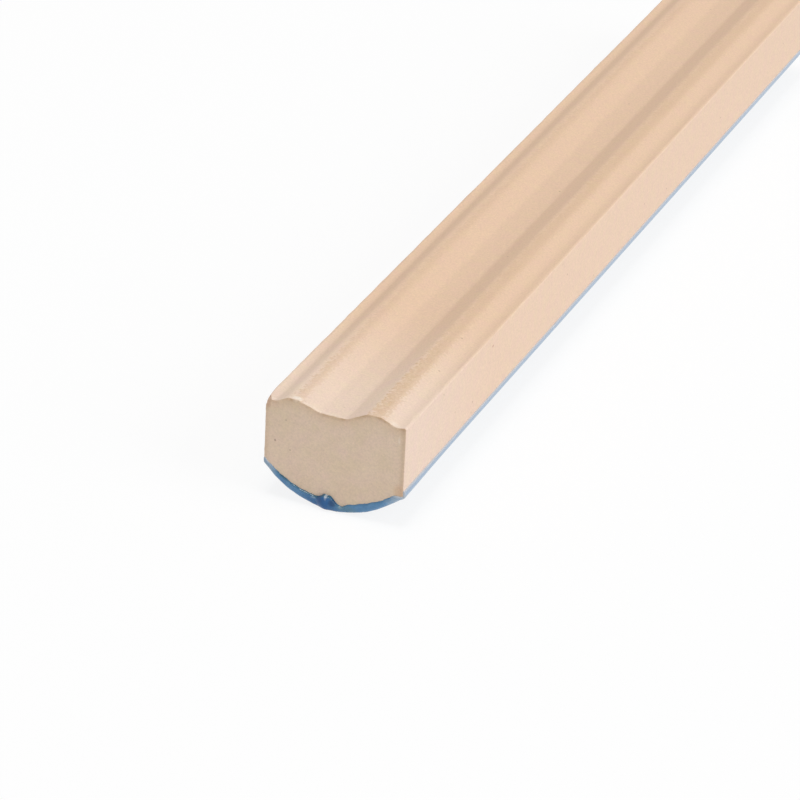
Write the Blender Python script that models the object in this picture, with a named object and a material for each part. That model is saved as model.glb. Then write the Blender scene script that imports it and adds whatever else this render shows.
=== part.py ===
"""Quarter round trim tile, one fired clay bar with a glazed face.

Metres, +Z up. The bar runs along Y and lies on its glazed dome, with the bare ribbed
back up. X is across the bar. The near end, which carries the glaze run and the chipped
corner, is at -Y.

The section has a domed face, two flat sides and a back with two broad ribs. The glaze
covers the dome, laps a little way up the sides and the ends, and stands out from the
bare clay by its own thickness at that lap.
"""
import math

import bmesh
import bpy
from mathutils import Matrix, Vector

# Clay bar
LENGTH = 0.152            # bare end face to bare end face
WIDTH = 0.0185            # across the bare flat sides
SIDE_HEIGHT = 0.0091      # shoulder of the dome up to the left back corner
RIGHT_SIDE_EXTRA = 0.0004 # the right side is this much taller
LONG_ARRIS = 0.0003       # rounded long edges, where the back meets the sides
END_ARRIS = 0.00015       # rounded edges of the bare clay at the ends

# Glazed dome
DOME_RISE = 0.00435       # lowest point up to the height where dome and sides would meet
SHOULDER_RADIUS = 0.0007  # fillet between the dome and the sides
COAT_STEP = 0.00015       # the glaze stands out from the clay by this much at its lap
SIDE_LAP = 0.0008         # glaze above the shoulder on each side
END_LAP = 0.0011          # glaze above the dome's edge on each end
LAP_WAVE = 0.00010        # how much the lap on the ends wanders up and down
LAP_WAVE_SPACING = 0.0045 # from one rise of the wandering lap to the next
DOME_ARRIS = 0.0006       # rounded edge where the dome meets the ends
ARRIS_FADE = 8            # the higher, the nearer to the shoulders that edge narrows

# Ribbed back. A rib or a groove is measured from the back corner on its own side
RIB_HEIGHT = 0.00057
LEFT_RIB_INSET = 0.00355  # side to the middle of the rib's crest
LEFT_RIB_CREST = 0.00145  # width of the land on top of the rib
RIGHT_RIB_INSET = 0.00425
RIGHT_RIB_CREST = 0.0018
GROOVE_INSET = 0.0010     # side to the bottom of the shallow groove beside a rib
GROOVE_DEPTH = 0.00028
RIGHT_GROOVE_FLOOR = 0.0005   # flat bottom of the right groove, towards its rib
VALLEY_WIDTH = 0.0035     # flat floor between the ribs
VALLEY_OFFSET = -0.00055  # middle of the floor from the middle of the bar
VALLEY_DEPTH = 0.00042    # floor below the left back corner
KNEE = 0.0002             # the back turns from slope to slope over twice this

# Glaze run on the near end
RUN_OFFSET = -0.0007      # from the middle of the bar
RUN_RISE = 0.0011         # how far it climbs above the rest of the lap
RUN_HALF_WIDTH = 0.0010
BEAD_HALF_WIDTH = 0.0006  # thick middle of the run
BEAD_THICKNESS = 0.00012  # how far it stands out beyond the rest of the lap

# Chipped corner of the near end, where the back meets the left side
CHIP_ALONG = 0.0013
CHIP_ACROSS = 0.0008
CHIP_DOWN = 0.0014

# Facets
DOME_FACETS = 15          # odd, so that the bar rests on a level facet
SHOULDER_FACETS = 4
KNEE_FACETS = 4           # in each turn of the back
ARRIS_FACETS = 4
LAP_FACETS = 44

# Room that the cutting tools have beyond the clay
TOOL_ROOM = 0.002

QUARTER_TURN = math.pi / 2
HALF_WIDTH = WIDTH / 2
HALF_COAT = HALF_WIDTH + COAT_STEP
LEFT_CORNER = DOME_RISE + SIDE_HEIGHT
RIGHT_CORNER = LEFT_CORNER + RIGHT_SIDE_EXTRA
LAP_TOP = DOME_RISE + SIDE_LAP
DOME_RADIUS = (HALF_COAT ** 2 + DOME_RISE ** 2) / (2 * DOME_RISE)
MIDDLE = BEAD_THICKNESS / 2           # centres the whole bar, with its run, on Y
NEAR_END = MIDDLE - LENGTH / 2
FAR_END = MIDDLE + LENGTH / 2


def clear_scene():
    """Remove every object of the open file."""
    for old in list(bpy.data.objects):
        bpy.data.objects.remove(old, do_unlink=True)


def new_collection(name):
    """Add a collection to the scene and return it."""
    group = bpy.data.collections.new(name)
    bpy.context.scene.collection.children.link(group)
    return group


def arc(centre, radius, start, finish, facets):
    """Return points on an arc in XZ, with angles counted from straight down towards +X."""
    turns = [start + (finish - start) * step / facets for step in range(facets + 1)]
    return [(centre[0] + radius * math.sin(t), centre[1] - radius * math.cos(t)) for t in turns]


def dome_line():
    """Return the glazed face: the dome between its shoulders, and the right shoulder.

    The dome's facets touch its true arc at their middles, so the lowest one lies at zero.
    """
    fillet_x = HALF_COAT - SHOULDER_RADIUS
    reach = DOME_RADIUS - SHOULDER_RADIUS
    sweep = math.asin(fillet_x / reach)
    fillet_z = DOME_RADIUS - math.sqrt(reach ** 2 - fillet_x ** 2)
    around = DOME_RADIUS / math.cos(sweep / DOME_FACETS)
    dome = arc((0, DOME_RADIUS), around, -sweep, sweep, DOME_FACETS)
    shoulder = arc((fillet_x, fillet_z), SHOULDER_RADIUS, sweep, QUARTER_TURN, SHOULDER_FACETS)
    return dome[1:-1], shoulder


def rounded(stations):
    """Join stations by straight slopes and return the line with each turn rounded."""
    points = [Vector(stations[0])]
    for before, turn, after in zip(stations, stations[1:], stations[2:]):
        before, turn, after = Vector(before), Vector(turn), Vector(after)
        start = turn + (before - turn) * KNEE / abs(before.x - turn.x)
        finish = turn + (after - turn) * KNEE / abs(after.x - turn.x)
        for step in range(KNEE_FACETS + 1):
            share = step / KNEE_FACETS
            points.append(start.lerp(turn, share).lerp(turn.lerp(finish, share), share))
    return points + [Vector(stations[-1])]


def back_line():
    """Return the ribbed back from the right side to the left one, with its rounded edges."""
    right_rib = HALF_WIDTH - RIGHT_RIB_INSET
    left_rib = -HALF_WIDTH + LEFT_RIB_INSET
    groove = HALF_WIDTH - GROOVE_INSET
    edge = HALF_WIDTH - LONG_ARRIS
    valley = LEFT_CORNER - VALLEY_DEPTH
    slopes = rounded([
        (edge, RIGHT_CORNER),
        (groove, RIGHT_CORNER - GROOVE_DEPTH),
        (groove - RIGHT_GROOVE_FLOOR, RIGHT_CORNER - GROOVE_DEPTH),
        (right_rib + RIGHT_RIB_CREST / 2, RIGHT_CORNER + RIB_HEIGHT),
        (right_rib - RIGHT_RIB_CREST / 2, RIGHT_CORNER + RIB_HEIGHT),
        (VALLEY_OFFSET + VALLEY_WIDTH / 2, valley),
        (VALLEY_OFFSET - VALLEY_WIDTH / 2, valley),
        (left_rib + LEFT_RIB_CREST / 2, LEFT_CORNER + RIB_HEIGHT),
        (left_rib - LEFT_RIB_CREST / 2, LEFT_CORNER + RIB_HEIGHT),
        (-groove, LEFT_CORNER - GROOVE_DEPTH),
        (-edge, LEFT_CORNER),
    ])
    right_top = RIGHT_CORNER - LONG_ARRIS
    left_top = LEFT_CORNER - LONG_ARRIS
    right = arc((edge, right_top), LONG_ARRIS, QUARTER_TURN, 2 * QUARTER_TURN, ARRIS_FACETS)
    left = arc((-edge, left_top), LONG_ARRIS, 2 * QUARTER_TURN, 3 * QUARTER_TURN, ARRIS_FACETS)
    return right + slopes[1:-1] + left


def section():
    """Return the outline across the bar, from the left shoulder under the dome and round."""
    dome, shoulder = dome_line()
    right = shoulder + [(HALF_COAT, LAP_TOP), (HALF_WIDTH, LAP_TOP + COAT_STEP)]
    left = [(-x, z) for x, z in reversed(right)]
    return [Vector(point) for point in dome + right + back_line() + left]


def outward(outline, place):
    """Return the direction out of the outline at one of its points."""
    before = outline[place] - outline[place - 1]
    after = outline[(place + 1) % len(outline)] - outline[place]
    along = before.normalized() + after.normalized()
    return Vector((along.y, -along.x)).normalized()


def arris_step(point, step):
    """Return how far a point of the outline moves in, and how far it is past the bare end.

    The steps run round the arris, from 0 on the bar's long faces to the last one on the
    glaze's end face. The glaze's arris is wide under the dome and fades out to the bare
    clay's narrow one at the shoulders. The bare clay's last step runs on through its end
    face, where the relief cuts it off.
    """
    turn = QUARTER_TURN * step / (ARRIS_FACETS + 1)
    if point.y <= LAP_TOP:
        fade = 1 - (point.x / HALF_COAT) ** ARRIS_FADE
        radius = END_ARRIS + (DOME_ARRIS - END_ARRIS) * fade
        return radius * (1 - math.cos(turn)), COAT_STEP - radius * (1 - math.sin(turn))
    beyond = COAT_STEP if step > ARRIS_FACETS else -END_ARRIS * (1 - math.sin(turn))
    return END_ARRIS * (1 - math.cos(turn)), beyond


def clay_bar(name, group):
    """Loft the bar from end to end, with its arrises, and return it."""
    outline = section()
    directions = [outward(outline, place) for place in range(len(outline))]
    steps = range(ARRIS_FACETS + 2)
    work = bmesh.new()
    rings = []
    for side, end in ((-1, NEAR_END), (1, FAR_END)):
        for step in (reversed(steps) if side < 0 else steps):
            ring = []
            for point, direction in zip(outline, directions):
                inset, beyond = arris_step(point, step)
                x, z = point - direction * inset
                ring.append(work.verts.new((x, end + side * beyond, z)))
            rings.append(ring)
    for near, far in zip(rings, rings[1:]):
        for place in range(len(outline)):
            work.faces.new((near[place - 1], near[place], far[place], far[place - 1]))
    work.faces.new(rings[0])
    work.faces.new(rings[-1])
    bmesh.ops.recalc_face_normals(work, faces=work.faces)
    return finished(work, name, group)


def finished(work, name, group):
    """Write a bmesh to a new object in a collection and return the object."""
    mesh = bpy.data.meshes.new(name)
    work.to_mesh(mesh)
    work.free()
    piece = bpy.data.objects.new(name, mesh)
    group.objects.link(piece)
    return piece


def extruded(name, outline, depth, middle, group):
    """Extrude a flat outline in XZ along Y and return it as a closed mesh object."""
    curve = bpy.data.curves.new(name, "CURVE")
    curve.dimensions = "2D"
    curve.fill_mode = "BOTH"
    curve.extrude = depth / 2
    spline = curve.splines.new("POLY")
    spline.points.add(len(outline) - 1)
    for point, (x, z) in zip(spline.points, outline):
        point.co = (x, z, 0.0, 1.0)
    spline.use_cyclic_u = True
    drawing = bpy.data.objects.new(name + "_outline", curve)
    group.objects.link(drawing)
    drawing.matrix_world = Matrix.Translation((0, middle, 0)) @ Matrix.Rotation(QUARTER_TURN, 4, "X")
    bpy.context.view_layer.update()
    shape = drawing.evaluated_get(bpy.context.evaluated_depsgraph_get())
    mesh = bpy.data.meshes.new_from_object(shape)
    mesh.transform(drawing.matrix_world)
    work = bmesh.new()
    work.from_mesh(mesh)
    bmesh.ops.remove_doubles(work, verts=work.verts, dist=1e-6)
    bmesh.ops.recalc_face_normals(work, faces=work.faces)
    bpy.data.objects.remove(drawing, do_unlink=True)
    return finished(work, name, group)


def dome_height(across):
    """Return the height of the dome's surface at a distance from the middle."""
    return DOME_RADIUS - math.sqrt(DOME_RADIUS ** 2 - across ** 2)


def lap_height(across, run):
    """Return how far the glaze climbs above the dome's edge on an end face."""
    turn = 2 * math.pi * across / LAP_WAVE_SPACING
    wander = LAP_WAVE * math.sin(turn) * math.cos(turn / 3)
    climb = run * math.exp(-((across - RUN_OFFSET) / RUN_HALF_WIDTH) ** 2)
    return END_LAP + wander + climb


def end_relief(name, end, run, group):
    """Return a tool that sets the bare clay of one end back from the glaze lap."""
    lap = []
    for step in range(LAP_FACETS + 1):
        x = -HALF_COAT + 2 * HALF_COAT * step / LAP_FACETS
        lap.append((x, dome_height(x) + lap_height(x, run)))
    reach = HALF_COAT + TOOL_ROOM
    above = max(LEFT_CORNER, RIGHT_CORNER) + RIB_HEIGHT + TOOL_ROOM
    outline = [(-reach, lap[0][1])] + lap + [(reach, lap[-1][1]), (reach, above), (-reach, above)]
    middle = end + math.copysign(TOOL_ROOM / 2, end)
    return extruded(name, outline, TOOL_ROOM, middle, group)


def glaze_bead(group):
    """Return the thick bead at the middle of the glaze run on the near end."""
    height = RUN_RISE + END_LAP / 2
    top = dome_height(RUN_OFFSET) + END_LAP + RUN_RISE - COAT_STEP
    bpy.ops.mesh.primitive_uv_sphere_add(segments=16, ring_count=10, radius=1.0)
    bead = bpy.context.object
    bead.name = "glaze_bead"
    bead.location = (RUN_OFFSET, NEAR_END, top - height / 2)
    bead.scale = (BEAD_HALF_WIDTH, COAT_STEP + BEAD_THICKNESS, height / 2)
    move_to(bead, group)
    return bead


def corner_chip(group):
    """Return a tool whose lowest face slices the chipped corner off."""
    corner = Vector((-HALF_WIDTH, NEAR_END, LEFT_CORNER))
    along = corner + Vector((0, CHIP_ALONG, 0))
    across = corner + Vector((CHIP_ACROSS, 0, 0))
    down = corner - Vector((0, 0, CHIP_DOWN))
    outward = (along - down).cross(across - down).normalized()
    if outward.dot(corner - down) < 0:
        outward.negate()
    size = 2 * max(CHIP_ALONG, CHIP_ACROSS, CHIP_DOWN) + TOOL_ROOM
    bpy.ops.mesh.primitive_cube_add(size=size)
    chip = bpy.context.object
    chip.name = "corner_chip"
    chip.location = (along + across + down) / 3 + outward * size / 2
    chip.rotation_euler = outward.to_track_quat("Z", "Y").to_euler()
    move_to(chip, group)
    return chip


def move_to(piece, group):
    """Take a piece out of its collections and put it in one of the part's own."""
    for old in list(piece.users_collection):
        old.objects.unlink(piece)
    group.objects.link(piece)


def combine(bar, tool, operation):
    """Add a Boolean modifier to the bar and hide the tool that it uses."""
    step = bar.modifiers.new(tool.name, "BOOLEAN")
    step.operation = operation
    step.solver = "EXACT"
    step.object = tool
    tool.hide_render = True
    tool.display_type = "WIRE"


def fired_clay():
    """Return the bare clay's material: cream, matt and slightly pink."""
    clay = bpy.data.materials.new("fired_clay")
    clay.use_nodes = True
    shader = clay.node_tree.nodes["Principled BSDF"]
    shader.inputs["Base Color"].default_value = (0.76, 0.58, 0.43, 1.0)
    shader.inputs["Roughness"].default_value = 0.9
    shader.inputs["Metallic"].default_value = 0.0
    return clay


def main():
    """Build the tile."""
    clear_scene()
    part = new_collection("quarter_round_tile")
    tools = new_collection("cutting_tools")
    bar = clay_bar("quarter_round_tile", part)
    bar.data.materials.append(fired_clay())
    combine(bar, end_relief("near_relief", NEAR_END, RUN_RISE, tools), "DIFFERENCE")
    combine(bar, end_relief("far_relief", FAR_END, 0.0, tools), "DIFFERENCE")
    combine(bar, glaze_bead(tools), "UNION")
    combine(bar, corner_chip(tools), "DIFFERENCE")


main()
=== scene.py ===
"""Looks of the quarter round tile: one bar of fired clay with a blue glazed face.

Metres, +Z up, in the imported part's own frame. The bar runs along Y and lies on its glazed
dome, with the bare ribbed back up. Its near end, at -Y, carries the glaze run and the
chipped corner.
"""
import logging
import math
from collections.abc import Callable
from dataclasses import dataclass
from enum import Enum, IntEnum
from functools import cached_property

import bmesh
import bpy
from mathutils import Matrix, Vector, noise


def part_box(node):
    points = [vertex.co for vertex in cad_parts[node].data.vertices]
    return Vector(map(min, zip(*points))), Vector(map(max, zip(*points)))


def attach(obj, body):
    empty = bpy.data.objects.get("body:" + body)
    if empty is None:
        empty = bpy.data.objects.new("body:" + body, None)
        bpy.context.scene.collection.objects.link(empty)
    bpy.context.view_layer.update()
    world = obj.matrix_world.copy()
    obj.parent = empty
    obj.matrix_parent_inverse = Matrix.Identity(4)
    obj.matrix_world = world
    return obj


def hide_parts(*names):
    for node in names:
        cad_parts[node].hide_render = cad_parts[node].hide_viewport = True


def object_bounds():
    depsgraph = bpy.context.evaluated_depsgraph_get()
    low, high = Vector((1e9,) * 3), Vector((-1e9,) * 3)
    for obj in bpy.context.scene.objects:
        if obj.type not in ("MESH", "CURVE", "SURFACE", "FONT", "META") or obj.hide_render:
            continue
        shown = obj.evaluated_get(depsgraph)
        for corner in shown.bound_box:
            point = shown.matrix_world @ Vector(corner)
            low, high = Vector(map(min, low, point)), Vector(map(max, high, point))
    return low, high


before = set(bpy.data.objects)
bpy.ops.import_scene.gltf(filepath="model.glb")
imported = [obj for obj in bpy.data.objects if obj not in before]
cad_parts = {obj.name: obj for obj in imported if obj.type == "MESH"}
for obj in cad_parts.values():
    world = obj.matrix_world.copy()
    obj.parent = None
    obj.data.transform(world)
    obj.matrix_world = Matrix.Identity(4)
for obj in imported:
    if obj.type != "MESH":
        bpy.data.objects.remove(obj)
CAD_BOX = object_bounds()

LOG = logging.getLogger("quarter_round_tile")
NODE = "quarter_round_tile"
BODY = "root"
MM = 0.001
QUARTER_TURN = math.pi / 2
STRAIGHT = 1e-6  # an edge this close to an axis runs along it
RUN_BEAD = 0.27 * MM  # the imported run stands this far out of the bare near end
SMOOTH = {"interpolation_type": "SMOOTHSTEP"}
FALLING = {"To Min": 1.0, "To Max": 0.0}
COLOUR = {"data_type": "RGBA"}
WHITE = (1.0, 1.0, 1.0, 1.0)

Material = bpy.types.Material
Node = bpy.types.Node
Piece = bpy.types.Object
Source = Node | bpy.types.NodeSocket
Span = tuple[float, float]  # where a rise starts and where it ends
Triple = tuple[float, float, float]


class Axis(IntEnum):
    """An axis of the frame, as its place in a vector."""

    X = 0
    Y = 1
    Z = 2


class End(Enum):
    """An end of the bar, with the direction out of it along Y."""

    NEAR = -1
    FAR = 1


def linear(code: str) -> tuple[float, float, float, float]:
    """Turn an sRGB hex colour into the linear one that a shader's socket takes.

    Args:
        code: the colour, such as "#E8CDB4".

    Returns:
        Red, green and blue in linear light, and an alpha of 1.
    """
    shares = [int(code[place:place + 2], 16) / 255 for place in (1, 3, 5)]
    red, green, blue = (s / 12.92 if s <= 0.04045 else ((s + 0.055) / 1.055) ** 2.4 for s in shares)
    return red, green, blue, 1.0


def smooth(low: float, high: float, value: float) -> float:
    """Rise from 0 at low to 1 at high, level at both."""
    share = max(0.0, min(1.0, (value - low) / (high - low)))
    return share * share * (3 - 2 * share)


def rounded_ramp(reach: float, half_width: float) -> float:
    """Read a ramp that is 0 before its knee and rises one for one after it.

    Args:
        reach: distance past the knee.
        half_width: the ramp turns over this distance on each side of the knee.

    Returns:
        The height of the ramp.
    """
    if abs(reach) >= half_width:
        return max(0.0, reach)
    return (reach + half_width) ** 2 / (4 * half_width)


class Nodes:
    """The shader nodes of a material or of the world."""

    def __init__(self, tree: bpy.types.NodeTree) -> None:
        """Take the nodes of a tree."""
        self.tree = tree

    def link(self, source: Source, target: bpy.types.NodeSocket) -> None:
        """Link a socket, or the first output that a node uses, to an input."""
        if isinstance(source, Node):
            source = next(output for output in source.outputs if output.enabled)
        self.tree.links.new(source, target)

    def add(
        self,
        kind: str,
        settings: dict[str | int, object] | None = None,
        links: dict[str | int, Source] | None = None,
    ) -> Node:
        """Add a node with its settings and links.

        Args:
            kind: the node's type, without "ShaderNode".
            settings: values by the name of a property, or by the name or number of an input.
            links: what to read from, by the name or number of the input.

        Returns:
            The new node.
        """
        node = self.tree.nodes.new("ShaderNode" + kind)
        for name, value in (settings or {}).items():
            if isinstance(name, str) and hasattr(node, name):
                setattr(node, name, value)
            else:
                node.inputs[name].default_value = value
        for name, source in (links or {}).items():
            self.link(source, node.inputs[name])
        return node

    def seen_directly(self) -> Node:
        """Add a mask of what the camera sees by itself, in a gloss or through glass.

        Returns:
            The node that gives 1 there, and 0 for the light on the bar.
        """
        rays = self.add("LightPath").outputs
        seen = rays["Is Camera Ray"]
        for kind in ("Is Glossy Ray", "Is Transmission Ray"):
            seen = self.add("Math", {"operation": "MAXIMUM"}, {0: seen, 1: rays[kind]})
        return seen


def select_only(piece: Piece) -> None:
    """Make a piece the active object and the only one selected.

    Args:
        piece: the piece to work on.
    """
    bpy.ops.object.select_all(action="DESELECT")
    piece.select_set(True)
    bpy.context.view_layer.objects.active = piece


def run_along(edge: bmesh.types.BMEdge, axis: Axis) -> float:
    """Read how far an edge runs along an axis, with its sign."""
    start, finish = edge.verts
    return finish.co[axis] - start.co[axis]


def pick_edges(piece: Piece, test: Callable[[bmesh.types.BMEdge], bool]) -> None:
    """Select the edges of a piece in edit mode that pass a test, and nothing else.

    Args:
        piece: a piece in edit mode.
        test: says whether an edge is picked.
    """
    bpy.ops.mesh.select_mode(type="EDGE")
    bpy.ops.mesh.select_all(action="DESELECT")
    work = bmesh.from_edit_mesh(piece.data)
    for edge in work.edges:
        edge.select_set(test(edge))
    bmesh.update_edit_mesh(piece.data)


def add_primitive(name: str, operator: Callable[..., set[str]], **sizes: object) -> Piece:
    """Add a primitive with nothing else selected, and put its place and its turn in its mesh.

    Args:
        name: the new piece's name.
        operator: what adds it.
        sizes: the operator's settings.

    Returns:
        The new piece, as the active one.
    """
    bpy.ops.object.select_all(action="DESELECT")
    operator(**sizes)
    piece = bpy.context.object
    piece.name = name
    bpy.ops.object.transform_apply(location=True, rotation=True, scale=False)
    return piece


def apply_modifier(piece: Piece, kind: str, settings: dict[str, object]) -> None:
    """Add a modifier to a piece and apply it.

    Args:
        piece: the piece to change.
        kind: the modifier's type.
        settings: values by the name of the modifier's property.
    """
    select_only(piece)
    modifier = piece.modifiers.new(kind.lower(), kind)
    for name, value in settings.items():
        setattr(modifier, name, value)
    bpy.ops.object.modifier_apply(modifier=modifier.name)


@dataclass(frozen=True)
class Unevenness:
    """Cloudy bumps on a mesh: what they are, and their size and their height in metres."""

    name: str
    grain: float
    depth: float

    def press(self, piece: Piece, group: str = "") -> None:
        """Raise and lower a surface.

        Args:
            piece: the piece to change.
            group: vertex group that it is limited to, if any.
        """
        clouds = bpy.data.textures.new(self.name, "CLOUDS")
        clouds.noise_scale = self.grain
        apply_modifier(piece, "DISPLACE", {"texture": clouds, "strength": self.depth, "vertex_group": group})


@dataclass(frozen=True)
class BarSection:
    """The outline across the bar, in metres.

    The coat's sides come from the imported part. The other sizes are its own or close to them, and
    the ribs, grooves and valley are finer.
    """

    half_coat: float  # middle of the bar to the glaze on its sides
    coat: float = 0.15 * MM  # thickness of the glaze
    dome_rise: float = 4.35 * MM  # lowest point to where dome and sides would meet
    shoulder_radius: float = 0.7 * MM
    side_height: float = 9.1 * MM  # shoulder to the left back corner
    right_side_extra: float = 0.3 * MM
    side_lap: float = 0.8 * MM  # glaze above the shoulder on the sides
    rib_height: float = 0.57 * MM
    right_rib_height: float = 0.67 * MM
    left_rib: float = -5.7 * MM  # middle of the left rib's crest
    left_crest: float = 1.45 * MM
    right_rib: float = 5.0 * MM
    right_crest: float = 1.8 * MM
    left_groove_inset: float = 1.25 * MM
    groove_inset: float = 1.0 * MM
    groove_depth: float = 0.28 * MM
    right_groove_depth: float = 0.13 * MM
    ledge: float = 0.5 * MM  # how far the right groove's floor runs towards its rib
    valley: float = -0.35 * MM  # middle of the valley
    valley_width: float = 3.5 * MM
    valley_depth: float = 0.42 * MM
    knee: float = 0.3 * MM  # the back turns from slope to slope over twice this

    @property
    def half_width(self) -> float:
        """Middle of the bar to its bare clay sides."""
        return self.half_coat - self.coat

    @property
    def radius(self) -> float:
        """Radius of the glazed dome."""
        return (self.half_coat ** 2 + self.dome_rise ** 2) / (2 * self.dome_rise)

    @property
    def left_corner(self) -> float:
        """Height of the left back corner."""
        return self.dome_rise + self.side_height

    @property
    def lap_top(self) -> float:
        """Height of the glaze's edge on the sides."""
        return self.dome_rise + self.side_lap

    @property
    def fillet(self) -> Triple:
        """Centre of the right shoulder's fillet, across and up, and the dome's sweep to it."""
        across = self.half_coat - self.shoulder_radius
        reach = self.radius - self.shoulder_radius
        height = self.radius - math.sqrt(reach ** 2 - across ** 2)
        return across, height, math.asin(across / reach)

    def dome_height(self, across: float, inset: float = 0.0) -> float:
        """Read the height above the dome's lowest point, on the glaze or this far inside it."""
        return self.radius - math.sqrt((self.radius - inset) ** 2 - across ** 2)

    @property
    def back_stations(self) -> tuple[Span, ...]:
        """Where the back turns, across and up, from the left corner to the right one."""
        left_crest = self.left_corner + self.rib_height
        right_corner = self.left_corner + self.right_side_extra
        right_crest = right_corner + self.right_rib_height
        left_groove = self.left_corner - self.groove_depth
        right_groove = right_corner - self.right_groove_depth
        floor = self.left_corner - self.valley_depth
        return (
            (-self.half_width, self.left_corner),
            (-self.half_width + self.left_groove_inset, left_groove),
            (self.left_rib - self.left_crest / 2, left_crest),
            (self.left_rib + self.left_crest / 2, left_crest),
            (self.valley - self.valley_width / 2, floor),
            (self.valley + self.valley_width / 2, floor),
            (self.right_rib - self.right_crest / 2, right_crest),
            (self.right_rib + self.right_crest / 2, right_crest),
            (self.half_width - self.groove_inset - self.ledge, right_groove),
            (self.half_width - self.groove_inset, right_groove),
            (self.half_width, right_corner),
        )

    def back_height(self, across: float) -> float:
        """Read the ribbed back's height: straight slopes, with each knee rounded.

        Args:
            across: distance from the middle of the bar.

        Returns:
            The height above the lowest point of the glaze.
        """
        stations = self.back_stations
        height = stations[0][1]
        for (before, low), (knee, middle), (after, high) in zip(stations, stations[1:], stations[2:]):
            slope_in = (middle - low) / (knee - before)
            slope_out = (high - middle) / (after - knee)
            if before == stations[0][0]:
                height += slope_in * (across - before)
            height += (slope_out - slope_in) * rounded_ramp(across - knee, self.knee)
        return height


@dataclass(frozen=True)
class Swell:
    """One rise or dip of the glaze, as a bell curve."""

    middle: float
    rise: float
    half_width: float

    def at(self, place: float) -> float:
        """Read the rise at a place."""
        return self.rise * math.exp(-((place - self.middle) / self.half_width) ** 2)


def swells_in_mm(*sizes: Triple) -> tuple[Swell, ...]:
    """Make swells from their middles, rises and half widths in mm."""
    return tuple(Swell(*(size * MM for size in swell)) for swell in sizes)


@dataclass(frozen=True)
class LapLine:
    """The edge of the glaze on an end face, as its height above the dome's edge."""

    height: float = 1.1 * MM
    wander: float = 0.04 * MM
    wander_spacing: float = 2.3 * MM
    wander_beat: float = 2.7  # a slower wave, this many times as long, makes it come and go
    nibble: float = 0.07 * MM  # fine unevenness where the glaze stopped creeping
    nibble_spacing: float = 0.42 * MM
    swells: tuple[Swell, ...] = ()
    bare_corner: float | None = None  # where the lap starts to narrow towards +X
    bare_over: float = 1.4 * MM
    bare_share: float = 0.1  # of the lap's width left at that corner

    def rise(self, across: float) -> float:
        """Read the lap's height above the dome's edge.

        Args:
            across: distance from the middle of the bar.

        Returns:
            The height in metres.
        """
        turn = 2 * math.pi * across / self.wander_spacing
        wander = self.wander * math.sin(turn) * math.cos(turn / self.wander_beat)
        wander += self.nibble * noise.noise(Vector((across / self.nibble_spacing, self.height / MM, 0)))
        return self.height + wander + sum(swell.at(across) for swell in self.swells)

    def fullness(self, across: float) -> float:
        """Read how much of the lap's full width is glazed.

        Args:
            across: distance from the middle of the bar.

        Returns:
            The share, from 0 to 1.
        """
        if self.bare_corner is None:
            return 1.0
        gone = smooth(self.bare_corner, self.bare_corner + self.bare_over, across)
        return 1 - (1 - self.bare_share) * gone


@dataclass(frozen=True)
class Mark:
    """One spot on a surface: its place and its radii along the axes in mm, and its colour."""

    place: Triple
    radii: Triple
    colour: str
    strength: float
    core: float = 0.3  # share of the radii before it fades


class Surface(Nodes):
    """A material while it is made: its nodes, and its colour so far."""

    def __init__(self, name: str) -> None:
        """Start with a plain shader.

        Args:
            name: what the real material is.
        """
        self.material = bpy.data.materials.new(name)
        self.material.use_nodes = True
        super().__init__(self.material.node_tree)
        self.shader = self.tree.nodes["Principled BSDF"]
        self.colour: Source | None = None

    @cached_property
    def point(self) -> Node:
        """The place in metres and the direction of each point."""
        return self.add("TexCoord")

    @cached_property
    def place(self) -> Node:
        """The place of each point in mm."""
        scale = {"Scale": (1 / MM, 1 / MM, 1 / MM)}
        return self.add("Mapping", scale, {"Vector": self.point.outputs["Object"]})

    def lay(self, colour: str, masks: tuple[Source, ...], strength: float = 1.0) -> None:
        """Lay a colour over the one so far where every mask lets it.

        Args:
            colour: the new colour.
            masks: shares of it, which are multiplied.
            strength: the most of it.
        """
        share = masks[0]
        for mask in masks[1:]:
            share = self.add("Math", {"operation": "MULTIPLY"}, {0: share, 1: mask})
        limited = self.add("MapRange", {"To Max": strength}, {"Value": share})
        self.colour = self.add("Mix", {**COLOUR, 7: linear(colour)}, {0: limited, 6: self.colour})

    def mark(self, marks: tuple[Mark, ...]) -> None:
        """Lay small soft spots over the colour so far.

        Args:
            marks: the spots.
        """
        for mark in marks:
            reach = self.place
            for operation, size in (("SUBTRACT", mark.place), ("DIVIDE", mark.radii)):
                reach = self.add("VectorMath", {"operation": operation, 1: size}, {0: reach})
            reach = self.add("VectorMath", {"operation": "LENGTH"}, {0: reach})
            spot = self.add("MapRange", {**SMOOTH, **FALLING, "From Min": mark.core}, {"Value": reach})
            self.lay(mark.colour, (spot,), mark.strength)

    def dress(
        self,
        roughness: float,
        ior: float,
        relief: Source | None = None,
        strength: float = 0.0,
        depth: float = 0.0,
    ) -> Material:
        """Give the shader its colour, its gloss and its relief.

        Args:
            roughness: how matt the surface is.
            ior: its index of refraction.
            relief: the height of its grain, from 0 to 1, where it has any.
            strength: how strongly the relief shows.
            depth: how high it is, in metres.

        Returns:
            The material.
        """
        self.link(self.colour, self.shader.inputs["Base Color"])
        self.shader.inputs["Roughness"].default_value = roughness
        self.shader.inputs["IOR"].default_value = ior
        if relief is not None:
            bump = self.add("Bump", {"Strength": strength, "Distance": depth}, {"Height": relief})
            self.link(bump, self.shader.inputs["Normal"])
        return self.material


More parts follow.
